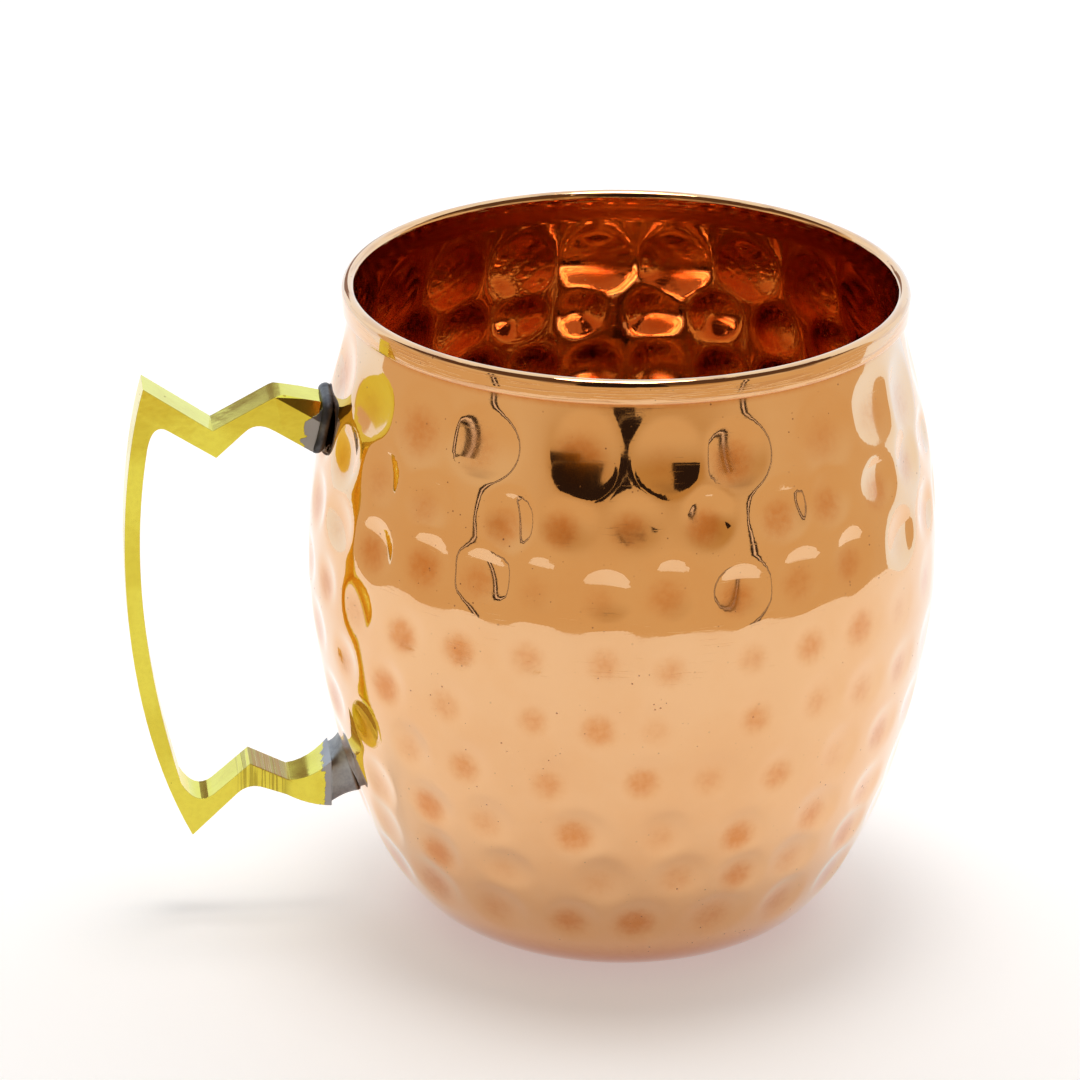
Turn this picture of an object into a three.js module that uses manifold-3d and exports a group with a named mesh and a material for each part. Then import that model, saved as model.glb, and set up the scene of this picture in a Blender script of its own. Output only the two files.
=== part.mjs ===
// Barrel-shaped copper mug with a cast brass strap handle.
// Four pieces: the spun copper body with its rolled rim, the handle, and the two solder joints
// that hold the handle's feet to the wall.
// Millimetres, +Z up. The origin is the centre of the flat base, and the handle stands towards -X.

import * as THREE from 'three';
import { mergeVertices } from 'three/addons/utils/BufferGeometryUtils.js';
import Module from 'manifold-3d';

const wasm = await Module();
wasm.setup();

// ---------- Driving dimensions ----------

// Body: sheet copper, spun to a barrel.
const WALL = 0.7;
const BASE_RADIUS = 23.5;
const BASE_ROUNDING = { reach: 15.7, rise: 1.0 };
const BELLY_RADIUS = 46;
const BELLY_HEIGHT = 53.3;
const BELLY_FULLNESS = { below: 9.9, above: 13.0 };
const NECK_RADIUS = 39.75;
const NECK_HEIGHT = 93.6;
const NECK_TAPER_HEIGHT = 23.9;

// Rim: the top of the sheet rolled outward and down, open underneath.
const RIM_HEIGHT = 97;
const RIM_HOLLOW_RADIUS = 0.3;
const RIM_LIP_HEIGHT = 93.85;

// Handle: one flat casting that widens at its two feet.
const HANDLE_WIDTH = 6.2;
const UPPER_FOOT = { flareFrom: 51, flareTo: 44.8, width: 8.3 };
const LOWER_FOOT = { flareFrom: 49.5, flareTo: 43.1, width: 8.6 };
const UPPER_FOOT_END = { reach: 42.0, bottomReach: 45.8, bottom: 73.7, top: 80.3 };
const LOWER_FOOT_END = { reach: 43.1, bottom: 17.6, top: 24.8 };
const HANDLE_MID_HEIGHT = 48;
const HANDLE_TOP = 86;
const HANDLE_REACH = 80;
const FOOT_ROOT_REACH = 38;

// Solder: a bead around the upper foot, a wedge behind the lower foot.
const UPPER_BEAD = {
  reach: 45.6, height: 77.4, tall: 9.0, wide: 9.6, depth: 5, corner: 1.0, rounding: 0.6,
  lean: THREE.MathUtils.degToRad(9),
};
const LOWER_WEDGE = {
  wallBottom: 19.2, wallTop: 27.6, wide: 9.2, rootReach: 35, flatReach: 38, bendReach: 40.5,
  footStep: 0.2, topStep: 0.6,
};

// Clearance that separate pieces keep where they touch.
const GAP = 0.3;

const AROUND = 64;
const LOWER_WALL_STEPS = 13;
const UPPER_WALL_STEPS = 9;
const CURL_STEPS = 6;
const EDGE_STEPS = 10;

const COPPER = { color: 0xd98a63, metalness: 1.0, roughness: 0.18 };
const BRASS = { color: 0xd9c44a, metalness: 1.0, roughness: 0.2 };
const SOLDER = { color: 0x6f7074, metalness: 0.8, roughness: 0.5 };

// ---------- Solids ----------

// A closed manifold solid from a three.js geometry.
function solidOf(geometry) {
  const plain = geometry.clone();
  plain.deleteAttribute('normal');
  plain.deleteAttribute('uv');
  const merged = mergeVertices(plain);
  return new wasm.Manifold(new wasm.Mesh({
    numProp: 3,
    vertProperties: new Float32Array(merged.attributes.position.array),
    triVerts: new Uint32Array(merged.index.array),
  }));
}

// The three.js geometry of a manifold solid.
function geometryOf(solid) {
  const mesh = solid.getMesh();
  const geometry = new THREE.BufferGeometry();
  geometry.setAttribute('position', new THREE.BufferAttribute(mesh.vertProperties, 3));
  geometry.setIndex(new THREE.BufferAttribute(mesh.triVerts, 1));
  return geometry;
}

// A profile of (radius, height) points turned about the mug's axis.
function turned(profile) {
  return new THREE.LatheGeometry(profile, AROUND).rotateX(Math.PI / 2);
}

// A side-on shape of (x, z) points, made into a plate of this width across Y.
function plate(shape, width) {
  const settings = { depth: width, bevelEnabled: false, curveSegments: EDGE_STEPS };
  const geometry = new THREE.ExtrudeGeometry(shape, settings);
  return geometry.rotateX(Math.PI / 2).translate(0, width / 2, 0);
}

function named(name, geometry, look) {
  const mesh = new THREE.Mesh(geometry, new THREE.MeshStandardMaterial(look));
  mesh.name = name;
  return mesh;
}

// ---------- Body ----------

// The wall from the flat base up to the belly, then from the belly up to the neck.
const lowerWall = new THREE.CubicBezierCurve(
  new THREE.Vector2(BASE_RADIUS, 0),
  new THREE.Vector2(BASE_RADIUS + BASE_ROUNDING.reach, BASE_ROUNDING.rise),
  new THREE.Vector2(BELLY_RADIUS, BELLY_HEIGHT - BELLY_FULLNESS.below),
  new THREE.Vector2(BELLY_RADIUS, BELLY_HEIGHT),
);
const upperWall = new THREE.CubicBezierCurve(
  new THREE.Vector2(BELLY_RADIUS, BELLY_HEIGHT),
  new THREE.Vector2(BELLY_RADIUS, BELLY_HEIGHT + BELLY_FULLNESS.above),
  new THREE.Vector2(BELLY_RADIUS, NECK_HEIGHT - NECK_TAPER_HEIGHT),
  new THREE.Vector2(NECK_RADIUS, NECK_HEIGHT),
);

// Points up the wall, moved outward along the wall's normal (negative is inward).
function wallProfile(outward) {
  const points = [];
  const along = (curve, first, steps) => {
    for (let i = first; i <= steps; i += 1) {
      const point = curve.getPoint(i / steps);
      const tangent = curve.getTangent(i / steps);
      points.push(new THREE.Vector2(point.x + tangent.y * outward, point.y - tangent.x * outward));
    }
  };
  along(lowerWall, 0, LOWER_WALL_STEPS);
  along(upperWall, 1, UPPER_WALL_STEPS);
  return points;
}

// Points on an arc of (radius, height), angles in degrees from straight outward.
function arc(centreRadius, centreHeight, radius, from, to, steps) {
  const points = [];
  for (let i = 0; i <= steps; i += 1) {
    const angle = THREE.MathUtils.degToRad(from + (to - from) * i / steps);
    points.push(new THREE.Vector2(
      centreRadius + radius * Math.cos(angle),
      centreHeight + radius * Math.sin(angle),
    ));
  }
  return points;
}

function rolledRim() {
  const curlRadius = RIM_HOLLOW_RADIUS + WALL;
  const curlCentre = NECK_RADIUS + RIM_HOLLOW_RADIUS;
  const curlHeight = RIM_HEIGHT - curlRadius;
  const lipCentre = curlCentre + RIM_HOLLOW_RADIUS + WALL / 2;
  return [
    ...arc(curlCentre, curlHeight, RIM_HOLLOW_RADIUS, 180, 0, CURL_STEPS),
    ...arc(lipCentre, RIM_LIP_HEIGHT, WALL / 2, 180, 360, CURL_STEPS),
    ...arc(curlCentre, curlHeight, curlRadius, 0, 180, CURL_STEPS + 2),
  ];
}

function mugBody() {
  const inside = wallProfile(-WALL).reverse();
  return turned([
    new THREE.Vector2(0, 0),
    ...wallProfile(0),
    ...rolledRim(),
    ...inside,
    new THREE.Vector2(0, WALL),
  ]);
}

// The space that the body fills, grown by the clearance, with its hollow closed.
function bodyKeepOut() {
  return solidOf(turned([
    new THREE.Vector2(0, -GAP),
    ...wallProfile(GAP),
    new THREE.Vector2(0, NECK_HEIGHT),
  ]));
}

// ---------- Handle ----------

// The handle from the side. Its arms zigzag out to the sharp tips of the bowed grip.
function handleShape() {
  const shape = new THREE.Shape();
  const move = (reach, height) => shape.moveTo(-reach, height);
  const line = (reach, height) => shape.lineTo(-reach, height);
  const round = (cornerReach, cornerHeight, reach, height) => {
    shape.quadraticCurveTo(-cornerReach, cornerHeight, -reach, height);
  };
  const bow = (reach1, height1, reach2, height2, reach, height) => {
    shape.bezierCurveTo(-reach1, height1, -reach2, height2, -reach, height);
  };

  // Grip, outer edge, from the top tip down to the bottom tip.
  move(69.9, 83.7);
  bow(74.2, 68.7, 75.4, 35.9, 63.6, 13.1);

  // Lower arm, underside, in to the foot.
  line(56.8, 19.7);
  round(55.1, 21.2, 52.9, 20.3);
  line(49.9, 19.2);
  round(46.4, 17.4, LOWER_FOOT_END.reach, LOWER_FOOT_END.bottom);
  line(LOWER_FOOT_END.reach, LOWER_FOOT_END.top);

  // Lower arm, upper side, back out to the grip.
  round(46.0, 21.6, 49.4, 21.5);
  line(55.0, 24.3);
  line(60.4, 19.6);
  round(63.0, 17.6, 65.2, 21.5);

  // Grip, inner edge.
  bow(70.1, 39.2, 72.3, 56.8, 69.4, 74.5);

  // Upper arm, underside, in to the foot and through the wall's surface.
  round(68.6, 78.6, 66.4, 77.2);
  line(59.5, 72.8);
  line(55.3, 76.7);
  round(53.8, 78.1, 51.8, 77.1);
  line(UPPER_FOOT_END.bottomReach, UPPER_FOOT_END.bottom);
  line(UPPER_FOOT_END.reach, UPPER_FOOT_END.bottom);

  // Upper arm, upper side, back out to the top tip.
  line(UPPER_FOOT_END.reach, UPPER_FOOT_END.top);
  line(49.3, 81.9);
  round(50.7, 82.2, 52.0, 81.4);
  line(60.0, 77.0);
  shape.closePath();
  return shape;
}

// The handle from above: a straight bar, flared at the foot.
function handlePlan(foot) {
  const bar = HANDLE_WIDTH / 2;
  const end = foot.width / 2;
  const shape = new THREE.Shape();
  shape.moveTo(-HANDLE_REACH, -bar);
  shape.lineTo(-foot.flareFrom, -bar);
  shape.lineTo(-foot.flareTo, -end);
  shape.lineTo(-FOOT_ROOT_REACH, -end);
  shape.lineTo(-FOOT_ROOT_REACH, end);
  shape.lineTo(-foot.flareTo, end);
  shape.lineTo(-foot.flareFrom, bar);
  shape.lineTo(-HANDLE_REACH, bar);
  shape.closePath();
  return shape;
}

function handleBlock(foot, low, high) {
  const settings = { depth: high - low, bevelEnabled: false };
  return solidOf(new THREE.ExtrudeGeometry(handlePlan(foot), settings).translate(0, 0, low));
}

function handleSolid() {
  const side = solidOf(plate(handleShape(), 2 * HANDLE_WIDTH));
  const upper = handleBlock(UPPER_FOOT, HANDLE_MID_HEIGHT, HANDLE_TOP);
  const lower = handleBlock(LOWER_FOOT, 0, HANDLE_MID_HEIGHT);
  return side.intersect(upper.add(lower)).subtract(bodyKeepOut());
}

// ---------- Solder ----------

// A rounded block that runs along X, from x = 0 back towards the mug's axis.
function roundedBlock({ tall, wide, depth, corner, rounding }) {
  const halfWide = wide / 2 - rounding;
  const halfTall = tall / 2 - rounding;
  const shape = new THREE.Shape();
  shape.moveTo(-halfWide + corner, -halfTall);
  shape.lineTo(halfWide - corner, -halfTall);
  shape.quadraticCurveTo(halfWide, -halfTall, halfWide, -halfTall + corner);
  shape.lineTo(halfWide, halfTall - corner);
  shape.quadraticCurveTo(halfWide, halfTall, halfWide - corner, halfTall);
  shape.lineTo(-halfWide + corner, halfTall);
  shape.quadraticCurveTo(-halfWide, halfTall, -halfWide, halfTall - corner);
  shape.lineTo(-halfWide, -halfTall + corner);
  shape.quadraticCurveTo(-halfWide, -halfTall, -halfWide + corner, -halfTall);
  const geometry = new THREE.ExtrudeGeometry(shape, {
    depth,
    curveSegments: 4,
    bevelThickness: rounding,
    bevelSize: rounding,
    bevelSegments: 3,
  });
  // Stand the section up in the YZ plane, its front rounding ending at x = 0.
  const across = new THREE.Vector3(0, 1, 0);
  const up = new THREE.Vector3(0, 0, 1);
  const inward = new THREE.Vector3(1, 0, 0);
  return geometry.translate(0, 0, rounding)
    .applyMatrix4(new THREE.Matrix4().makeBasis(across, up, inward));
}

// Leaves the clearance all round a foot that stands in this solder.
function withoutFoot(solder, foot) {
  let cut = solder;
  for (const across of [-GAP, GAP]) {
    for (const up of [-GAP, GAP]) {
      cut = cut.subtract(foot.translate([GAP, across, up]));
    }
  }
  return cut;
}

function upperSolder(handle) {
  const { reach, height, lean } = UPPER_BEAD;
  const bead = roundedBlock(UPPER_BEAD).rotateY(lean).translate(-reach, 0, height);
  return withoutFoot(solidOf(bead).subtract(bodyKeepOut()), handle);
}

// Fills the wedge between the square-cut lower foot and the curved wall.
function lowerSolder() {
  const { wallBottom, wallTop, wide, rootReach, flatReach, bendReach, footStep, topStep } = LOWER_WEDGE;
  const front = LOWER_FOOT_END.reach - GAP;
  const bottom = LOWER_FOOT_END.bottom + footStep;
  const shape = new THREE.Shape();
  shape.moveTo(-front, bottom);
  shape.lineTo(-front, LOWER_FOOT_END.top);
  shape.lineTo(-front + topStep, wallTop);
  shape.lineTo(-rootReach, wallTop);
  shape.lineTo(-rootReach, wallBottom);
  shape.lineTo(-flatReach, wallBottom);
  shape.quadraticCurveTo(-bendReach, LOWER_FOOT_END.bottom, -front, bottom);
  return solidOf(plate(shape, wide)).subtract(bodyKeepOut());
}

// ---------- Assembly ----------

const handle = handleSolid();

const mug = new THREE.Group();
mug.add(named('mug_body', mugBody(), COPPER));
mug.add(named('handle', geometryOf(handle), BRASS));
mug.add(named('upper_solder', geometryOf(upperSolder(handle)), SOLDER));
mug.add(named('lower_solder', geometryOf(lowerSolder()), SOLDER));

export default mug;
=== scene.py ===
"""A barrel-shaped copper mug: hammered body with a rolled rim, cast brass handle, two solder joints.

Everything is in metres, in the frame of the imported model: +Z up, the origin in the middle of the
flat base, and the handle standing out along -X. Lengths are written as millimetres times MM.
"""

import math
import random
from bisect import bisect_right

import bmesh
import bpy
from mathutils import Matrix, Vector, noise


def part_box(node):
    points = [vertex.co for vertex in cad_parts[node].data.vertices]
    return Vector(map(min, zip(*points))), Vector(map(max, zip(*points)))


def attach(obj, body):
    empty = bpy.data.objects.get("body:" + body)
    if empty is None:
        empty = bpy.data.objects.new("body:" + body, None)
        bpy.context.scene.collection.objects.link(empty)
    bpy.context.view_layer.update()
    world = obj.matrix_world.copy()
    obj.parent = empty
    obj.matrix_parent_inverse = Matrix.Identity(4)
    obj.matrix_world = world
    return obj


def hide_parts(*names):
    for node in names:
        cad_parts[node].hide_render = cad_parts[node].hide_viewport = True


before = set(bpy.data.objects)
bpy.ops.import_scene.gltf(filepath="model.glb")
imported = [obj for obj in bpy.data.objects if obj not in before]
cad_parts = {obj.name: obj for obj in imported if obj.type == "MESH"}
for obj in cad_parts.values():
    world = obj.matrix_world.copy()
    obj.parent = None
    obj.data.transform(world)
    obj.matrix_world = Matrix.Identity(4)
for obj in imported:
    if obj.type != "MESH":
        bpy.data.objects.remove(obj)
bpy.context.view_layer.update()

MM = 0.001

# ---------- Sizes ----------

# The body, from the frame's box, and the curve of its wall between base, belly and neck.
BODY_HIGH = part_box("mug_body")[1]
BELLY_RADIUS = BODY_HIGH.x
RIM_HEIGHT = BODY_HIGH.z
BASE_RADIUS = 23.5 * MM
BASE_ROUNDING = (15.7 * MM, 1.0 * MM)               # outward, then up, from the edge of the base
BELLY_HEIGHT = 53.3 * MM
BELLY_FULLNESS = (9.9 * MM, 13.0 * MM)              # below and above the belly
NECK_RADIUS = 39.75 * MM
NECK_HEIGHT = RIM_HEIGHT - 3.4 * MM
NECK_TAPER_HEIGHT = 23.9 * MM
WALL = 0.7 * MM

# The rolled rim: a curl of the same sheet, open underneath.
CURL_HOLLOW = 0.3 * MM
CURL_LIP_HEIGHT = RIM_HEIGHT - 3.15 * MM

# How finely the body is drawn.
AROUND = 384
OUTER_STEP = 0.84 * MM
INNER_STEP = 1.30 * MM

# Hammer dents in rows. Each row has its distance down the wall from the neck, the dents' radius
# and depth, all in millimetres, how far the blows lean to the upper right, and the angles in
# degrees (0 in front, 90 to the right) of the first dents. The rest of the row goes on behind.
DENT_ROWS = (
    (8.2, 5.6, 0.62, 0.05, (-50.0, -35.2, -14.2, 1.2, 15.4, 35.8, 50.3, 64.8)),
    (17.8, 4.4, 0.62, 0.62, (-58.9, -45.3, -28.9, -18.0, -5.4, 9.0, 23.2, 34.0, 48.2, 60.0)),
    (27.3, 4.5, 0.60, 0.42, (-58.3, -44.2, -32.7, -22.3, -10.7, 1.6, 13.6, 26.6, 38.1, 54.1)),
    (37.4, 4.1, 0.14, 0.40, (-49.1, -36.5, -22.7, -10.0, 2.0, 17.3, 29.0, 41.0, 54.0)),
    (47.2, 4.1, 0.26, 0.40, (-54.1, -39.4, -21.5, -10.5, 0.8, 19.0, 31.1, 43.5, 56.0)),
    (56.8, 4.2, 0.32, 0.30, (-49.9, -35.9, -19.1, -2.2, 11.4, 24.4, 38.0, 52.0)),
    (66.6, 4.4, 0.40, 0.25, (-46.8, -32.9, -15.7, 2.4, 18.0, 35.5, 52.0)),
    (74.6, 4.4, 0.44, 0.20, (-48.3, -30.4, -10.6, 5.7, 19.5, 32.8, 50.0)),
    (83.0, 4.8, 0.52, 0.20, (-53.4, -34.8, -17.1, -1.5, 16.5, 34.0, 52.0)),
)

LIGHT_BLOWS = {-18.0: 0.50, -5.4: 0.34}             # shares of their row's depth, by angle
SIDE_DEPTH = 0.42 * MM                              # the shallow rows are this deep by the handle
LEAN_ACROSS, LEAN_UP = 0.55, 0.83                   # the direction that the blows lean in
SOFT_EDGE = 0.012                                   # how softly a dent runs out into the wall
DENT_REACH = 9 * MM                                 # no dent has an effect beyond this
TARNISH_AND_SHADE_OFFSET = (0.7 * MM, 0.8 * MM)               # the tarnish and painted reflected shade sit to the lower left in a dent
TARNISH_AND_SHADE_SPREAD = 0.80                               # its radius, as a share of the dent's
BASE_SHADE_HEIGHT = 9 * MM                              # the painted shade round the base, a reflected contact shadow, fades up to here
UNDER_RIM_SHADE_DEPTH = 1.6 * MM                               # and the painted shadow under the rim down this far

# Low lumps in the sheet, as (height, width).
FINE_LUMPS = (0.014 * MM, 6 * MM)
BROAD_LUMPS = (0.05 * MM, 21 * MM)
BASE_EASE = 6 * MM                                  # dents and lumps die out this near the base
NECK_EASE = 3 * MM                                  # and this near the neck

# The handle, a flat casting that widens at its two feet.
HANDLE_WIDTH = 6.2 * MM
UPPER_FLARE = (51.0 * MM, 44.8 * MM, 8.3 * MM)     # from this reach, to this reach, to this width
LOWER_FLARE = (49.5 * MM, 43.1 * MM, 8.6 * MM)
CREASE_REACH = 51.0 * MM                            # where the facets of the upper foot start
CREASE_HEIGHT = 81.9 * MM
FOOT_FACETS = ((math.radians(33), 1.03 * MM), (math.radians(66), 1.03 * MM))   # tilt and final depth
HANDLE_EDGE = 0.40 * MM
SHARP_EDGE = math.radians(16)                       # edges that turn more than this are eased
LOWER_FOOT_END = 43.1 * MM

# The solder. Half widths and half heights, then how square, of each end of the lower cone.
BEAD_CENTRE_HEIGHT = 77.3 * MM
BEAD_HALF_SIZE = (4.45 * MM, 3.75 * MM)
BEAD_THICKNESS = 0.86 * MM
BEAD_UNEVENNESS = 0.10 * MM
BEAD_PROUD = 0.55 * MM                              # its core's distance off the wall
CONE_FOOT = (4.3 * MM, 3.6 * MM, 5.0)
CONE_FOOT_HEIGHT = 21.2 * MM
CONE_WALL = (4.7 * MM, 4.2 * MM, 2.5)
CONE_WALL_HEIGHT = 23.0 * MM
CONE_SUNK = 0.25 * MM                               # how far the cone's end sits in the wall
CONE_WAIST = 0.30 * MM
CONE_LUMPS = (0.15 * MM, 5 * MM)


# ---------- Helpers for meshes ----------

def finished_piece(name, bm, finish, node):
    """Turns a bmesh into an object that rides on the mug and stands for a CAD node."""
    mesh = bpy.data.meshes.new(name)
    bm.to_mesh(mesh)
    bm.free()
    mesh.materials.append(finish)
    mesh.shade_smooth()
    piece = bpy.data.objects.new(name, mesh)
    bpy.context.scene.collection.objects.link(piece)
    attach(piece, "root")
    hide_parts(node)
    return piece


def bezier(ends, share):
    """A point on a cubic curve through four (radius, height) control points."""
    a, b, c, d = (Vector(end) for end in ends)
    rest = 1 - share
    near = a * rest ** 3 + b * (3 * rest * rest * share)
    return near + c * (3 * rest * share * share) + d * share ** 3


def arc(centre, radius, start, end, steps):
    """Points (radius, height) on an arc, its angles in degrees from straight outward."""
    points = []
    for i in range(steps + 1):
        angle = math.radians(start + (end - start) * i / steps)
        points.append((centre[0] + radius * math.cos(angle), centre[1] + radius * math.sin(angle)))
    return points


def wobble(place, size, seed):
    """Smooth noise from -1 to 1, with lumps of about this size."""
    return noise.noise(Vector(place) / size + Vector((seed, 2.7 * seed, 5.1 * seed)))


# ---------- The wall's curve ----------

class Wall:
    """The outer wall as a curve, read by the distance along it from the edge of the base."""

    LOWER = ((BASE_RADIUS, 0), (BASE_RADIUS + BASE_ROUNDING[0], BASE_ROUNDING[1]),
             (BELLY_RADIUS, BELLY_HEIGHT - BELLY_FULLNESS[0]), (BELLY_RADIUS, BELLY_HEIGHT))
    UPPER = ((BELLY_RADIUS, BELLY_HEIGHT), (BELLY_RADIUS, BELLY_HEIGHT + BELLY_FULLNESS[1]),
             (BELLY_RADIUS, NECK_HEIGHT - NECK_TAPER_HEIGHT), (NECK_RADIUS, NECK_HEIGHT))
    STEPS = 300

    def __init__(self):
        self.points = [bezier(self.LOWER, i / self.STEPS) for i in range(self.STEPS)]
        self.points += [bezier(self.UPPER, i / self.STEPS) for i in range(self.STEPS + 1)]
        self.distances = [0.0]
        for before, after in zip(self.points, self.points[1:]):
            self.distances.append(self.distances[-1] + (after - before).length)
        self.length = self.distances[-1]

    def at(self, distance):
        """The (radius, height) point at a distance, and the wall's outward direction there."""
        i = min(max(bisect_right(self.distances, distance) - 1, 0), len(self.points) - 2)
        before, after = self.points[i], self.points[i + 1]
        share = (distance - self.distances[i]) / (self.distances[i + 1] - self.distances[i])
        along = (after - before).normalized()
        return before.lerp(after, share), Vector((along.y, -along.x))

    def radius_at_height(self, height):
        """The outer radius at a height above the base."""
        for before, after in zip(self.points, self.points[1:]):
            if before.y <= height <= after.y:
                return before.x + (after.x - before.x) * (height - before.y) / (after.y - before.y)
        return self.points[-1].x


wall = Wall()


# ---------- The hammered body ----------

class Dent:
    """One hammer dent: where it was struck, how wide and deep it is, and how much tarnish and painted
    reflected shade it carries.
    """

    def __init__(self, angle, distance, radius, depth, lean, chance):
        self.angle = math.radians(angle + chance.uniform(-0.8, 0.8)) % math.tau
        self.distance = distance + chance.uniform(-0.7, 0.7) * MM
        self.radius = radius * chance.uniform(0.93, 1.06)
        handle_side = max(0.0, -math.sin(self.angle)) ** 2
        self.depth = (depth + max(0.0, SIDE_DEPTH - depth) * handle_side) * chance.uniform(0.88, 1.12)
        self.lean = lean
        self.stretch = chance.uniform(0.92, 1.10)
        self.tarnish_and_shade = chance.uniform(0.35, 1.0)


def struck_dents():
    """Every dent of the body, in rows that each come with their distance up the wall."""
    chance = random.Random(11)
    rows = []
    for drop, radius, depth, lean, angles in DENT_ROWS:
        spacing = (angles[-1] - angles[0]) / (len(angles) - 1)
        behind = 360 - (angles[-1] - angles[0])
        more = round(behind / spacing) - 1
        struck = list(angles) + [angles[-1] + behind * (i + 1) / (more + 1) for i in range(more)]
        centre = wall.length - drop * MM
        dents = []
        for angle in struck:
            driven = depth * LIGHT_BLOWS.get(angle, 1)
            dents.append(Dent(angle, centre, radius * MM, driven * MM, lean, chance))
        rows.append((centre, dents))
    return rows


def hammered(rows, angle, distance):
    """How deep the wall is driven in here, and how much tarnish and painted reflected shade it gets.
    Dents meet in soft ridges.
    """
    radius = wall.at(distance)[0].x
    depth = 0.0
    tarnish_and_shade = 0.0
    for centre, dents in rows:
        if abs(distance - centre) > DENT_REACH:
            continue
        for dent in dents:
            across = ((angle - dent.angle + math.pi) % math.tau - math.pi) * radius
            up = distance - dent.distance
            if abs(across) > DENT_REACH:
                continue
            fall = 1 - ((across * dent.stretch) ** 2 + (up / dent.stretch) ** 2) / dent.radius ** 2
            if fall > -0.5:
                lean = dent.lean * (LEAN_ACROSS * across + LEAN_UP * up) / dent.radius
                bowl = (fall + math.sqrt(fall * fall + SOFT_EDGE)) / 2
                depth += (dent.depth * max(0.1, 1 + lean) * bowl) ** 3
            # Tarnish and painted reflected shade gather to the lower left of each dent.
            offset = (across + TARNISH_AND_SHADE_OFFSET[0]) ** 2 + (up + TARNISH_AND_SHADE_OFFSET[1]) ** 2
            low = offset / (TARNISH_AND_SHADE_SPREAD * dent.radius) ** 2
            tarnish_and_shade += dent.tarnish_and_shade * math.exp(-low * (1 + 0.5 * low))
    return depth ** (1 / 3), min(1.0, tarnish_and_shade)


def body_profile():
    """The sheet's section as (radius, height, distance up the wall or None, outward direction)."""
    section = [(BASE_RADIUS * i / 6, 0, None, None) for i in range(6)]
    steps = round(wall.length / OUTER_STEP)
    for i in range(steps + 1):
        distance = wall.length * i / steps
        point, out = wall.at(distance)
        section.append((point.x, point.y, distance, out))

    curl = CURL_HOLLOW + WALL
    centre = (NECK_RADIUS + CURL_HOLLOW, RIM_HEIGHT - curl)
    lip = (centre[0] + CURL_HOLLOW + WALL / 2, CURL_LIP_HEIGHT)
    roll = arc(centre, CURL_HOLLOW, 180, 0, 8)
    roll += arc(lip, WALL / 2, 180, 360, 8)
    roll += arc(centre, curl, 0, 180, 20)
    section += [(radius, height, None, None) for radius, height in roll]

    steps = round(wall.length / INNER_STEP)
    for i in range(steps + 1):
        distance = wall.length * (steps - i) / steps
        point, out = wall.at(distance)
        inner = point - out * WALL
        section.append((inner.x, inner.y, distance, out))
    floor_radius = section[-1][0]
    section += [(floor_radius * (5 - i) / 6, WALL, None, None) for i in range(6)]
    return section


def spun_sheet(section):
    """The section turned round the axis. Each vertex remembers its place in the section."""
    bm = bmesh.new()
    place = bm.verts.layers.int.new("section_place")
    corners = []
    for i, (radius, height, _, _) in enumerate(section):
        corner = bm.verts.new((radius, 0, height))
        corner[place] = i
        corners.append(corner)
    for low, high in zip(corners, corners[1:]):
        bm.edges.new((low, high))
    bmesh.ops.spin(bm, geom=bm.verts[:] + bm.edges[:], cent=(0, 0, 0), axis=(0, 0, 1),
                   angle=math.tau, steps=AROUND, use_merge=True)
    bmesh.ops.remove_doubles(bm, verts=bm.verts, dist=0.002 * MM)
    bmesh.ops.recalc_face_normals(bm, faces=bm.faces)
    return bm


def hammered_body(finish):
    """One sheet of copper: spun to a barrel, its rim rolled, then hammered all over."""
    section = body_profile()
    bm = spun_sheet(section)
    tarnish_and_shade_amount = bm.verts.layers.float.new("tarnish_and_shade_amount")
    place = bm.verts.layers.int["section_place"]
    rows = struck_dents()
    for vert in bm.verts:
        _, height, distance, out = section[vert[place]]
        if distance is None:
            # The underside of the rolled lip is painted fully dark, as shadow under the rim.
            vert[tarnish_and_shade_amount] = 1.0 if NECK_HEIGHT - 1 * MM < height < CURL_LIP_HEIGHT else 0.0
            continue
        angle = math.atan2(vert.co.x, -vert.co.y)
        depth, tarnish_and_shade = hammered(rows, angle % math.tau, distance)
        to_neck = wall.length - distance
        ease = min(1.0, distance / BASE_EASE, to_neck / NECK_EASE)
        flat = Vector((vert.co.x, vert.co.y, 0)).normalized()
        skin = flat * wall.at(distance)[0].x + Vector((0, 0, wall.at(distance)[0].y))
        uneven = FINE_LUMPS[0] * (1 + wobble(skin, FINE_LUMPS[1], 3))
        uneven += BROAD_LUMPS[0] * (1 + wobble(skin, BROAD_LUMPS[1], 8))
        vert.co -= (flat * out.x + Vector((0, 0, out.y))) * (depth + uneven) * ease
        # Painted shade: darker towards the base, a reflected contact shadow, and just under the rim, a
        # shadow.
        painted_base_and_rim_shade = max(0.0, 1 - height / BASE_SHADE_HEIGHT) + max(0.0, 1 - to_neck / UNDER_RIM_SHADE_DEPTH)
        vert[tarnish_and_shade_amount] = min(1.0, tarnish_and_shade + painted_base_and_rim_shade)
    bm.verts.layers.int.remove(place)
    return finished_piece("hammered_body", bm, finish, "mug_body")


# ---------- The handle ----------

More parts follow.
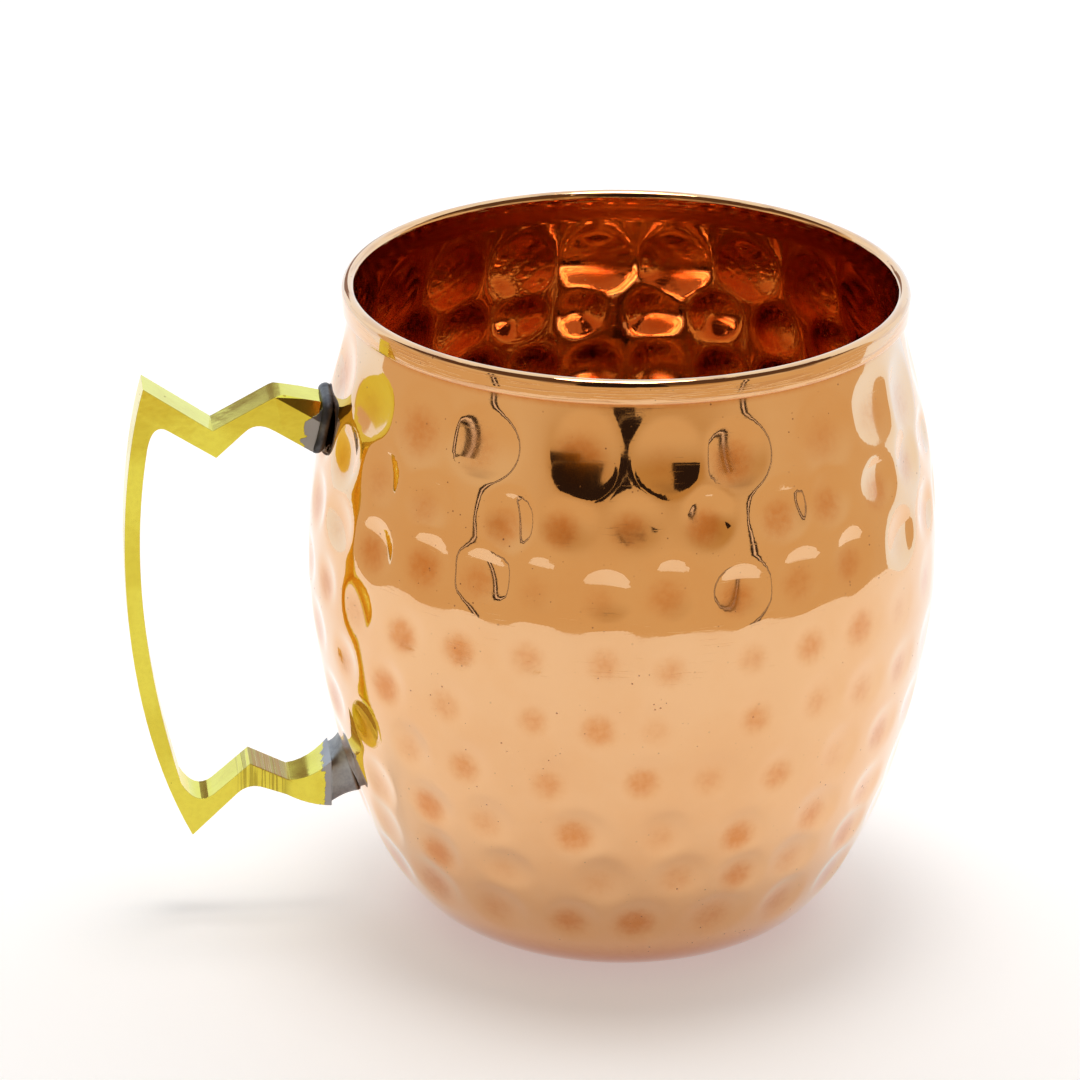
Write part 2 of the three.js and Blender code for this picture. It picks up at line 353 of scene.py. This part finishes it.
def handle_outline():
    """The handle from the side, as (reach from the mug's axis, height) points in millimetres."""
    points = []

    def line(reach, height):
        points.append(Vector((reach, height)))

    def bend(corner, end, steps=6):
        start = points[-1]
        for i in range(1, steps + 1):
            share = i / steps
            near = start.lerp(Vector(corner), share)
            far = Vector(corner).lerp(Vector(end), share)
            points.append(near.lerp(far, share))

    def bow(first, second, end, steps=28):
        start = points[-1]
        for i in range(1, steps + 1):
            points.append(bezier((start, first, second, end), i / steps))

    # Grip, outer edge, from the top tip to the bottom tip.
    line(69.9, 83.7)
    bow((74.18, 68.7), (75.38, 35.9), (63.6, 13.1))
    # Lower arm, underside, in to the foot.
    line(56.8, 19.7)
    bend((55.1, 21.2), (52.9, 20.3))
    line(49.9, 19.2)
    bend((46.4, 17.4), (43.1, 17.6))
    # Lower arm, upper side, back out to the grip.
    line(43.1, 24.8)
    bend((46.0, 21.6), (49.4, 21.5))
    line(55.0, 24.3)
    line(60.4, 19.6)
    bend((63.0, 17.6), (65.2, 21.5), 8)
    # Grip, inner edge.
    bow((70.1, 39.2), (72.3, 56.8), (69.4, 74.5))
    # Upper arm, underside, in to the foot.
    bend((68.6, 78.6), (66.4, 77.2), 8)
    line(59.5, 72.8)
    line(55.3, 76.7)
    bend((53.8, 78.1), (51.8, 77.1))
    line(45.8, 73.7)
    line(43.9, 73.7)
    # Upper arm, upper side, back out to the top tip.
    line(43.2, 80.55)
    line(49.3, 81.9)
    bend((50.7, 82.2), (52.0, 81.4))
    line(60.0, 77.0)
    return points


def flared(place):
    """Half the handle's width at this place, which grows towards the two feet."""
    start, end, width = UPPER_FLARE if place.z > 48 * MM else LOWER_FLARE
    share = min(max((start + place.x) / (start - end), 0.0), 1.0)
    return (HANDLE_WIDTH + (width - HANDLE_WIDTH) * share) / 2


def cast_handle(finish):
    """The casting: its flat outline given thickness, flared and faceted feet, and eased edges."""
    bm = bmesh.new()
    outline = [bm.verts.new((-point.x * MM, -1 * MM, point.y * MM)) for point in handle_outline()]
    face = bm.faces.new(outline)
    grown = bmesh.ops.extrude_face_region(bm, geom=[face])["geom"]
    for vert in grown:
        if isinstance(vert, bmesh.types.BMVert):
            vert.co.y = 1 * MM
    for reach in (CREASE_REACH, UPPER_FLARE[1], LOWER_FLARE[0]):
        bmesh.ops.bisect_plane(bm, geom=bm.verts[:] + bm.edges[:] + bm.faces[:],
                               plane_co=(-reach, 0, 0), plane_no=(1, 0, 0))
    bmesh.ops.recalc_face_normals(bm, faces=bm.faces)
    for vert in bm.verts:
        vert.co.y = math.copysign(flared(vert.co), vert.co.y)

    facet_upper_foot(bm)
    sharp = [edge for edge in bm.edges if edge.is_manifold and edge.calc_face_angle() > SHARP_EDGE]
    bmesh.ops.bevel(bm, geom=sharp, offset=HANDLE_EDGE, segments=3, profile=0.5, affect="EDGES",
                    clamp_overlap=True, material=-1)
    piece = finished_piece("cast_handle", bm, finish, "handle")
    even = piece.modifiers.new("even_faces", "WEIGHTED_NORMAL")
    even.weight = 100
    return piece


def facet_upper_foot(bm):
    """Two facets down each upper edge of the foot. They start as a point at the crease."""
    for side in (-1, 1):
        corner = Vector((-CREASE_REACH, side * HANDLE_WIDTH / 2, CREASE_HEIGHT))
        for tilt, depth in FOOT_FACETS:
            foot = [vert for vert in bm.verts
                    if vert.co.x > -CREASE_REACH - 0.01 * MM and vert.co.z > 70 * MM]
            inside = set(foot)
            faces = [face for face in bm.faces if inside.issuperset(face.verts)]
            edges = list({edge for face in faces for edge in face.edges})
            length = CREASE_REACH - UPPER_FLARE[1]
            out = Vector((depth / length, side * math.cos(tilt), math.sin(tilt))).normalized()
            cut = bmesh.ops.bisect_plane(bm, geom=foot + edges + faces, dist=0.002 * MM,
                                         plane_co=corner, plane_no=out, clear_outer=True)
            rim = [part for part in cut["geom_cut"] if isinstance(part, bmesh.types.BMEdge)]
            bmesh.ops.holes_fill(bm, edges=[edge for edge in rim if edge.is_boundary])


# ---------- Solder ----------

def on_wall(across, height, proud):
    """A point on the handle's side of the body, this far off its surface."""
    radius = wall.radius_at_height(height) + proud
    return Vector((-math.sqrt(radius * radius - across * across), across, height))


def rounded_square(share, half_wide, half_tall, squareness=4.5):
    """A point on a rounded rectangle, a share of the way round it, as (across, up)."""
    angle = math.tau * share
    power = 2 / squareness
    across = math.copysign(abs(math.cos(angle)) ** power, math.cos(angle))
    up = math.copysign(abs(math.sin(angle)) ** power, math.sin(angle))
    return across * half_wide, up * half_tall


def upper_joint(finish):
    """A rounded bead of solder, run round the upper foot where it meets the wall."""
    core = 4 * MM
    bm = bmesh.new()
    upright = Matrix.Translation((core, 0, 0)) @ Matrix.Rotation(math.pi / 2, 4, "X")
    bmesh.ops.create_circle(bm, segments=16, radius=1 * MM, matrix=upright)
    bmesh.ops.spin(bm, geom=bm.verts[:] + bm.edges[:], cent=(0, 0, 0), axis=(0, 0, 1),
                   angle=math.tau, steps=96, use_merge=True)
    off = Vector((-1, 0, -0.18)).normalized()
    for vert in bm.verts:
        share = math.atan2(vert.co.y, vert.co.x) / math.tau
        turn = math.atan2(vert.co.z, vert.co.xy.length - core)
        round_way = (math.cos(math.tau * share), math.sin(math.tau * share), 0)
        thick = BEAD_THICKNESS + BEAD_UNEVENNESS * wobble(round_way, 0.5, 4)
        wide, tall = rounded_square(share, *BEAD_HALF_SIZE)
        away = Vector((0, wide, tall)).normalized()
        vert.co = on_wall(wide, BEAD_CENTRE_HEIGHT + tall, BEAD_PROUD)
        vert.co += (off * math.sin(turn) * 0.95 + away * math.cos(turn) * 0.8) * thick
    bmesh.ops.recalc_face_normals(bm, faces=bm.faces)
    return finished_piece("upper_joint", bm, finish, "upper_solder")


def lower_joint(finish):
    """A cone of solder that fills the space between the lower foot and the wall."""
    tall_parts = 10
    bm = bmesh.new()
    bmesh.ops.create_cone(bm, cap_ends=True, segments=96, radius1=1 * MM, radius2=1 * MM,
                          depth=1 * MM)
    for i in range(1, tall_parts):
        bmesh.ops.bisect_plane(bm, geom=bm.verts[:] + bm.edges[:] + bm.faces[:], dist=0.001 * MM,
                               plane_co=(0, 0, (i / tall_parts - 0.5) * MM), plane_no=(0, 0, 1))
    for vert in bm.verts:
        share = vert.co.z / MM + 0.5
        turn = math.atan2(vert.co.y, vert.co.x) / math.tau
        wide, tall = rounded_square(turn, *CONE_FOOT)
        start = Vector((-LOWER_FOOT_END - 0.05 * MM, wide, CONE_FOOT_HEIGHT + tall))
        wide, tall = rounded_square(turn, *CONE_WALL)
        end = on_wall(wide, CONE_WALL_HEIGHT + tall, -CONE_SUNK)
        away = Vector((0, wide, tall)).normalized()
        spot = start.lerp(end, share)
        lump = wobble(spot, CONE_LUMPS[1], 6) * CONE_LUMPS[0] * share
        vert.co = spot + away * (lump - CONE_WAIST * math.sin(math.pi * share))
    bmesh.ops.recalc_face_normals(bm, faces=bm.faces)
    return finished_piece("lower_joint", bm, finish, "lower_solder")


# ---------- Shader maths ----------

class Wire:
    """A node's output. Arithmetic on wires adds Math nodes to their recipe."""

    def __init__(self, recipe, socket):
        self.recipe = recipe
        self.socket = socket

    def maths(self, operation, first, second):
        return self.recipe.node("ShaderNodeMath", {"operation": operation}, {0: first, 1: second})

    def __add__(self, other):
        return self.maths("ADD", self, other)

    def __radd__(self, other):
        return self.maths("ADD", other, self)

    def __sub__(self, other):
        return self.maths("SUBTRACT", self, other)

    def __rsub__(self, other):
        return self.maths("SUBTRACT", other, self)

    def __mul__(self, other):
        return self.maths("MULTIPLY", self, other)

    def __rmul__(self, other):
        return self.maths("MULTIPLY", other, self)

    def __gt__(self, other):
        return self.maths("GREATER_THAN", self, other)


class Recipe:
    """A material under construction: a metal surface whose nodes are added one by one."""

    def __init__(self, name):
        self.material = bpy.data.materials.new(name)
        self.material.use_nodes = True
        self.tree = self.material.node_tree
        self.surface = self.tree.nodes["Principled BSDF"]
        self.place = self.node("ShaderNodeTexCoord", output="Object")

    def node(self, kind, settings=None, inputs=None, output=0):
        """Adds a node, sets its settings, then its sockets, and returns a wire from one output."""
        made = self.tree.nodes.new(kind)
        for name, value in (settings or {}).items():
            setattr(made, name, value)
        for name, value in (inputs or {}).items():
            if isinstance(value, Wire):
                self.tree.links.new(value.socket, made.inputs[name])
            else:
                made.inputs[name].default_value = value
        return Wire(self, made.outputs[output])

    def along(self, axis):
        """The place on the piece along one axis, in millimetres."""
        return self.node("ShaderNodeSeparateXYZ", None, {0: self.place}, axis) * (1 / MM)

    def stretched(self, x, y, z):
        """The place on the piece in millimetres, each way multiplied by a number."""
        scale = (x / MM, y / MM, z / MM)
        return self.node("ShaderNodeVectorMath", {"operation": "MULTIPLY"}, {0: self.place, 1: scale})

    def grain(self, size, detail=2.0, place=None):
        """Noise with lumps of this size in millimetres."""
        place = place or self.stretched(1, 1, 1)
        return self.node("ShaderNodeTexNoise", None,
                         {"Vector": place, "Scale": 1 / size, "Detail": detail, "Roughness": 0.55})

    def fade(self, value, low, high):
        """0 where the value is below low, 1 above high, and smooth between."""
        return self.node("ShaderNodeMapRange", {"interpolation_type": "SMOOTHSTEP"},
                         {"Value": value, "From Min": low, "From Max": high}, "Result")

    def band(self, value, rise, fall):
        """1 between two edges. Each edge is the pair of values that the band fades over."""
        return self.fade(value, *rise) * (1 - self.fade(value, *fall))

    def blend(self, share, first, second):
        """A colour between two others."""
        return self.node("ShaderNodeMix", {"data_type": "RGBA"}, {0: share, 6: first, 7: second}, 2)

    def bump(self, height, distance, strength=1.0, below=None):
        """Raises the surface by a height from 0 to 1 times this distance in millimetres."""
        inputs = {"Height": height, "Distance": distance * MM, "Strength": strength}
        if below:
            inputs["Normal"] = below
        return self.node("ShaderNodeBump", None, inputs, "Normal")

    def finish(self, **sockets):
        for name, value in sockets.items():
            socket = self.surface.inputs[name.replace("_", " ")]
            if isinstance(value, Wire):
                self.tree.links.new(value.socket, socket)
            else:
                socket.default_value = value
        return self.material


# ---------- Finishes ----------

COPPER, CLOUDED_COPPER = (0.845, 0.478, 0.215, 1), (0.82, 0.425, 0.165, 1)
TARNISH_AND_SHADE_TINT, BASE_SHADE_TINT = (0.68, 0.22, 0.018, 1), (0.46, 0.085, 0.008, 1)
TURNING_LINE, SPECK = (0.50, 0.19, 0.08, 1), (0.26, 0.08, 0.02, 1)

BRASS, CLOUDED_BRASS, DULL_BRASS = (0.80, 0.70, 0.088, 1), (0.70, 0.57, 0.055, 1), (0.60, 0.46, 0.05, 1)
COPPER_REFLECTION_TINT, BRASS_PIT = (0.34, 0.12, 0.006, 1), (0.22, 0.13, 0.02, 1)

SOLDER_ON_BRASS = (0.36, 0.35, 0.36, 1)
SOLDER, DARK_SOLDER, DARKEST_SOLDER = (0.38, 0.38, 0.38, 1), (0.24, 0.24, 0.26, 1), (0.05, 0.05, 0.06, 1)

BLACK, WHITE = (0, 0, 0, 1), (1, 1, 1, 1)


def specks(recipe, cell, radius, share):
    """1 inside small scattered round specks: a share of the cells holds one."""
    place = recipe.stretched(1, 1, 1)
    scale = 1 / cell
    near = recipe.node("ShaderNodeTexVoronoi", None, {"Vector": place, "Scale": scale}, "Distance")
    pick = recipe.node("ShaderNodeTexVoronoi", None, {"Vector": place, "Scale": scale}, "Color")
    lot = recipe.node("ShaderNodeSeparateColor", None, {"Color": pick}, 0)
    size = recipe.node("ShaderNodeSeparateColor", None, {"Color": pick}, 1) * (radius / cell)
    inside = recipe.fade(size - near, 0.0, 0.02)
    return inside * (lot > 1 - share)


def hammered_copper():
    """Polished copper: dull orange tarnish and painted shade in the dents and under the rim, painted
    shade round the base, brown specks, and fine hairlines.
    """
    recipe = Recipe("hammered_copper")
    tarnish_and_shade_amount = recipe.node("ShaderNodeAttribute", {"attribute_name": "tarnish_and_shade_amount"}, None, "Fac")
    clouds = recipe.fade(recipe.grain(13, 4.0), 0.40, 0.68)
    mottle = recipe.fade(recipe.grain(1.1, 5.0), 0.30, 0.70)
    patch = recipe.fade(recipe.grain(11, 2.0, recipe.stretched(1, 1, 0.8)), 0.46, 0.62)
    dots = specks(recipe, 0.8, 0.17, 0.30) * patch
    freckles = specks(recipe, 3.6, 0.27, 0.14)
    hairs = recipe.fade(recipe.grain(0.9, 2.0, recipe.stretched(0.15, 0.15, 3.2)), 0.64, 0.72)
    # The attribute carries tarnish and painted shade: in the dents, round the base and under the rim.
    tarnish_and_shade = recipe.fade(tarnish_and_shade_amount * (0.86 + mottle * 0.28), 0.10, 1.05)
    height = recipe.along("Z")
    rim = recipe.fade(height, 93.3, 93.6)
    lines = recipe.fade(recipe.grain(0.30, 2.0, recipe.stretched(0.03, 0.03, 1)), 0.50, 0.62) * rim

    colour = recipe.blend(clouds * 0.5, COPPER, CLOUDED_COPPER)
    colour = recipe.blend(tarnish_and_shade * 0.90, colour, TARNISH_AND_SHADE_TINT)
    # Painted shade: the reflected contact shadow, darker towards the base.
    colour = recipe.blend((1 - recipe.fade(height, 0.5, 8)) * 0.7, colour, BASE_SHADE_TINT)
    colour = recipe.blend(lines * 0.28, colour, TURNING_LINE)
    colour = recipe.blend((dots + freckles) * 0.75, colour, SPECK)
    roughness = 0.035 + clouds * 0.02 + tarnish_and_shade * 0.09
    roughness = roughness + (hairs + lines) * 0.05 + (dots + freckles) * 0.3
    fine = recipe.bump(recipe.grain(2.2, 3.0), 0.004)
    fine = recipe.bump(hairs, 0.0012, 1.0, fine)
    fine = recipe.bump(lines, 0.008, 1.0, fine)
    return recipe.finish(Base_Color=colour, Roughness=roughness, Normal=fine, Metallic=1.0,
                         Coat_Weight=1.0, Coat_Roughness=0.04, Coat_IOR=1.6)


def cast_brass():
    """Yellow brass: clouded polish, pits, file marks by the lower foot, a painted reflection of the
    copper body on the lower arm, solder run on to the feet.
    """
    recipe = Recipe("cast_brass")
    patches = recipe.fade(recipe.grain(8, 3.0), 0.40, 0.66)
    fine = recipe.fade(recipe.grain(0.8, 4.0), 0.35, 0.75)
    pits = specks(recipe, 1.9, 0.34, 0.22)
    x = recipe.along("X")
    z = recipe.along("Z")

    filed = recipe.band(x, (-57.5, -56.0), (-50.5, -48.5)) * (1 - recipe.fade(z, 30, 32))
    strokes = recipe.stretched(1, 0.02, 0.03)
    marks = recipe.fade(recipe.grain(0.42, 1.0, strokes), 0.48, 0.60) * filed

    # A painted reflection of the copper body, on the upper face of the lower arm between its crest and
    # the foot.
    sloping = recipe.fade(z + x * 0.5, -3.45, -3.2) * (1 - recipe.fade(z, 26, 27))
    painted_copper_reflection = recipe.band(x, (-55.4, -54.8), (-50.0, -48.6)) * sloping

    # Solder has run on to both feet, to a ragged line.
    ragged = recipe.grain(1.8, 3.0) * 3.2
    low = x + ragged - 1.6 + 44.2
    high = x + ragged - 1.6 + 46.9 - recipe.fade(z, 77.5, 80.5) * 3.0
    upper = recipe.fade(z, 50, 51)
    wetted = recipe.fade(low * (1 - upper) + high * upper, 0.0, 0.12)

    colour = recipe.blend(patches * 0.6, BRASS, CLOUDED_BRASS)
    colour = recipe.blend(fine * 0.16, colour, DULL_BRASS)
    # Painted reflection of the copper body on the lower arm.
    colour = recipe.blend(painted_copper_reflection * (0.85 - marks * 0.4), colour, COPPER_REFLECTION_TINT)
    colour = recipe.blend(pits * 0.6 + marks * 0.45, colour, BRASS_PIT)
    colour = recipe.blend(wetted, colour, SOLDER_ON_BRASS)
    roughness = 0.10 + patches * 0.08 + pits * 0.3 + marks * 0.15 + wetted * 0.28
    skin = recipe.bump(recipe.grain(3.2, 2.0), 0.022)
    skin = recipe.bump(1 - pits, 0.02, 1.0, skin)
    skin = recipe.bump(1 - marks, 0.03, 1.0, skin)
    skin = recipe.bump(wetted, 0.08, 1.0, skin)
    skin = recipe.bump(recipe.grain(0.5, 1.0, strokes) * painted_copper_reflection, 0.16, 1.0, skin)
    return recipe.finish(Base_Color=colour, Roughness=roughness, Normal=skin, Metallic=1.0)


def grey_solder():
    """Tin solder: satin grey, faintly lumpy, with darker flux stains."""
    recipe = Recipe("grey_solder")
    patches = recipe.fade(recipe.grain(2.6, 4.0), 0.35, 0.70)
    frost = recipe.fade(recipe.grain(0.35, 2.0), 0.35, 0.75)
    upper = recipe.fade(recipe.along("Z"), 50, 51)
    colour = recipe.blend(patches * 0.6 + frost * 0.2, SOLDER, DARK_SOLDER)
    # The upper joint is made almost black.
    colour = recipe.blend(upper * (0.7 + patches * 0.3), colour, DARKEST_SOLDER)
    roughness = 0.42 + patches * 0.12 + frost * 0.10
    lumps = recipe.bump(recipe.grain(1.2, 2.0), 0.03)
    return recipe.finish(Base_Color=colour, Roughness=roughness, Normal=lumps, Metallic=0.9)


def glow(recipe, colour):
    """A studio surface that gives off this colour and reflects nothing."""
    return recipe.finish(Base_Color=BLACK, Specular_IOR_Level=0.0,
                         Emission_Color=colour, Emission_Strength=1.0)


# ---------- Studio ----------

CAMERA_DISTANCE = 0.9
CAMERA_ELEVATION = math.radians(22.74)
CAMERA_TURN = math.radians(-7.4)      # towards the handle
CAMERA_ROLL = math.radians(0.92)
CAMERA_LENS = 204.1
LOOKED_AT = Vector((0, 0, 50 * MM))
AIM_LEFT = 11.94 * MM                 # the camera aims beside the mug, so the handle is in view
AIM_UP = 6.15 * MM

TABLE_RADIUS = 216 * MM
TABLE_GLOW = 0.36
ROOM_RADIUS = 1.6
LIGHT_SIZE = 0.5
LIGHT_POWER = 5.0
LIGHT_PLACE = (0.0, 0.05, 1.2)
ROOM_HALF_ANGLE = math.radians(112)
ROOM_LOW, ROOM_SIDES = (0.76, 0.58, 0.34, 1), (0.79, 0.67, 0.47, 1)
ROOM_MIDDLE, ROOM_TOP = (0.55, 0.35, 0.13, 1), (0.12, 0.07, 0.045, 1)
SURROUNDINGS = (0.78, 0.89, 1.0, 1)
SURROUNDINGS_STRENGTH = 1.28
TABLE_BACK = (0.7, 1.3)               # the table's back half goes on this far, and is this much wider

# Shapes in front of the mug that only its reflections see, by azimuth and elevation in degrees.
CARD_DISTANCE = 0.8
DARK_CLOTH, BROWN_CLOTH = (0.025, 0.015, 0.012, 1), (0.30, 0.22, 0.20, 1)
PALE_EDGE = (0.95, 0.80, 0.68, 1)
DARK_CARDS = (
    ("camera_stand", (-4.2, 4.2), (4.0, 6.2)),
    ("camera_shelf", (-13, 11), (6.2, 9)),
    ("dark_cloth", (-19, 17), (9, 58)),
)
FAR_CLOTH = ((-172, -152), (10, 22))
POSTS = (("left_post", -52), ("right_post", 47))
POST_PALE, POST_DARK = 0.35, 1.35     # half widths of the pale core and of the whole post
POST_ELEVATIONS = (-24, 13)


def camera():
    """The camera stands in front of the mug and looks down on its mouth."""
    back = Vector((math.sin(CAMERA_TURN) * math.cos(CAMERA_ELEVATION),
                   -math.cos(CAMERA_TURN) * math.cos(CAMERA_ELEVATION),
                   math.sin(CAMERA_ELEVATION)))
    place = LOOKED_AT + back * CAMERA_DISTANCE
    right = Vector((0, 0, 1)).cross(back).normalized()
    up = back.cross(right)
    turn = Matrix.Rotation(CAMERA_ROLL, 3, back)
    right = turn @ right
    up = turn @ up
    aim = LOOKED_AT - right * AIM_LEFT + up * AIM_UP
    back = (place - aim).normalized()
    right = up.cross(back).normalized()
    up = back.cross(right)

    data = bpy.data.cameras.new("camera")
    data.lens = CAMERA_LENS
    data.sensor_width = 36
    made = bpy.data.objects.new("camera", data)
    made.matrix_world = Matrix.Translation(place) @ Matrix((right, up, back)).transposed().to_4x4()
    bpy.context.scene.collection.objects.link(made)
    bpy.context.scene.camera = made


def stage_piece(name, bm, finish, seen):
    """A part of the studio: the table, or a card that only the reflections see."""
    mesh = bpy.data.meshes.new(name)
    bm.to_mesh(mesh)
    bm.free()
    mesh.materials.append(finish)
    piece = bpy.data.objects.new(name, mesh)
    piece.visible_camera = seen
    bpy.context.scene.collection.objects.link(piece)


def towards(azimuth, elevation, distance):
    """A place as the mug sees it, in degrees: azimuth 0 is the camera's, 90 is to its right."""
    angle = math.radians(azimuth) + CAMERA_TURN
    height = 80 * MM + math.tan(math.radians(elevation)) * distance
    return Vector((math.sin(angle) * distance, -math.cos(angle) * distance, height))


def card(name, azimuths, elevations, finish):
    """An upright card in front of the mug, its edges given in degrees as the mug sees them."""
    bm = bmesh.new()
    for vert in bmesh.ops.create_grid(bm, x_segments=1, y_segments=1, size=1)["verts"]:
        vert.co = towards(azimuths[vert.co.x > 0], elevations[vert.co.y > 0], CARD_DISTANCE)
    stage_piece(name, bm, finish, False)


def table():
    """A round white table, drawn on behind the mug to be the background too."""
    bm = bmesh.new()
    bmesh.ops.create_circle(bm, cap_ends=True, segments=96, radius=TABLE_RADIUS)
    for vert in bm.verts:
        if vert.co.y > 0:
            vert.co.y += TABLE_BACK[0]
            vert.co.x *= TABLE_BACK[1]
    recipe = Recipe("white_table")
    finish = recipe.finish(Base_Color=(0.82, 0.79, 0.76, 1), Roughness=0.7,
                           Emission_Color=WHITE, Emission_Strength=TABLE_GLOW)
    stage_piece("floor", bm, finish, True)


def room_light():
    """The warm, dim room in front of the table. It darkens upwards and behind the camera."""
    recipe = Recipe("room_light")
    place = recipe.node("ShaderNodeSeparateXYZ", None, {0: recipe.place}, "Z")
    aside = recipe.node("ShaderNodeSeparateXYZ", None, {0: recipe.place}, "X")
    warm = recipe.fade(place, -0.1, 0.45)
    middle = 1 - recipe.fade(aside * aside, 0.1, 1.6)
    dark = recipe.fade(place, 0.5, 1.0)
    colour = recipe.blend(warm, ROOM_LOW, ROOM_SIDES)
    colour = recipe.blend(warm * middle, colour, ROOM_MIDDLE)
    colour = recipe.blend(dark, colour, ROOM_TOP)
    return glow(recipe, colour)


def room():
    """A half drum in front of the mug, closed by a ceiling."""
    bm = bmesh.new()
    corners = [(ROOM_RADIUS, -0.9), (ROOM_RADIUS, 0.0), (ROOM_RADIUS, 0.6), (ROOM_RADIUS, 1.3),
               (0.9, 1.6), (0.0, 1.6)]
    spots = [bm.verts.new((0, -radius, height)) for radius, height in corners]
    for low, high in zip(spots, spots[1:]):
        bm.edges.new((low, high))
    bmesh.ops.rotate(bm, verts=bm.verts, cent=(0, 0, 0),
                     matrix=Matrix.Rotation(CAMERA_TURN - ROOM_HALF_ANGLE, 3, "Z"))
    bmesh.ops.spin(bm, geom=bm.verts[:] + bm.edges[:], cent=(0, 0, 0), axis=(0, 0, 1),
                   angle=2 * ROOM_HALF_ANGLE, steps=48)
    stage_piece("room", bm, room_light(), False)


def ceiling_light():
    """One soft light straight overhead."""
    data = bpy.data.lights.new("ceiling_light", "AREA")
    data.shape = "DISK"
    data.size = LIGHT_SIZE
    data.energy = LIGHT_POWER
    data.color = (1.0, 0.97, 0.93)
    light = bpy.data.objects.new("ceiling_light", data)
    light.location = LIGHT_PLACE
    bpy.context.scene.collection.objects.link(light)


def studio():
    """White surroundings behind the mug, and in front of the table the room and its dark shapes."""
    scene = bpy.context.scene
    scene.view_settings.view_transform = "Standard"
    scene.world = bpy.data.worlds.new("studio_white")
    scene.world.use_nodes = True
    backdrop = scene.world.node_tree.nodes["Background"]
    backdrop.inputs["Color"].default_value = SURROUNDINGS
    backdrop.inputs["Strength"].default_value = SURROUNDINGS_STRENGTH
    scene.cycles.max_bounces = 16
    scene.cycles.glossy_bounces = 10

    table()
    room()
    ceiling_light()
    dark = glow(Recipe("dark_cloth"), DARK_CLOTH)
    pale = glow(Recipe("pale_edge"), PALE_EDGE)
    brown = glow(Recipe("brown_cloth"), BROWN_CLOTH)
    for name, azimuths, elevations in DARK_CARDS:
        card(name, azimuths, elevations, dark)
    card("far_cloth", *FAR_CLOTH, brown)
    for name, azimuth in POSTS:
        card(f"{name}_near_edge", (azimuth - POST_DARK, azimuth - POST_PALE), POST_ELEVATIONS, dark)
        card(name, (azimuth - POST_PALE, azimuth + POST_PALE), POST_ELEVATIONS, pale)
        card(f"{name}_far_edge", (azimuth + POST_PALE, azimuth + POST_DARK), POST_ELEVATIONS, dark)


# ---------- The mug ----------

camera()
studio()

copper = hammered_copper()
brass = cast_brass()
solder = grey_solder()

hammered_body(copper)
cast_handle(brass)
upper_joint(solder)
lower_joint(solder)
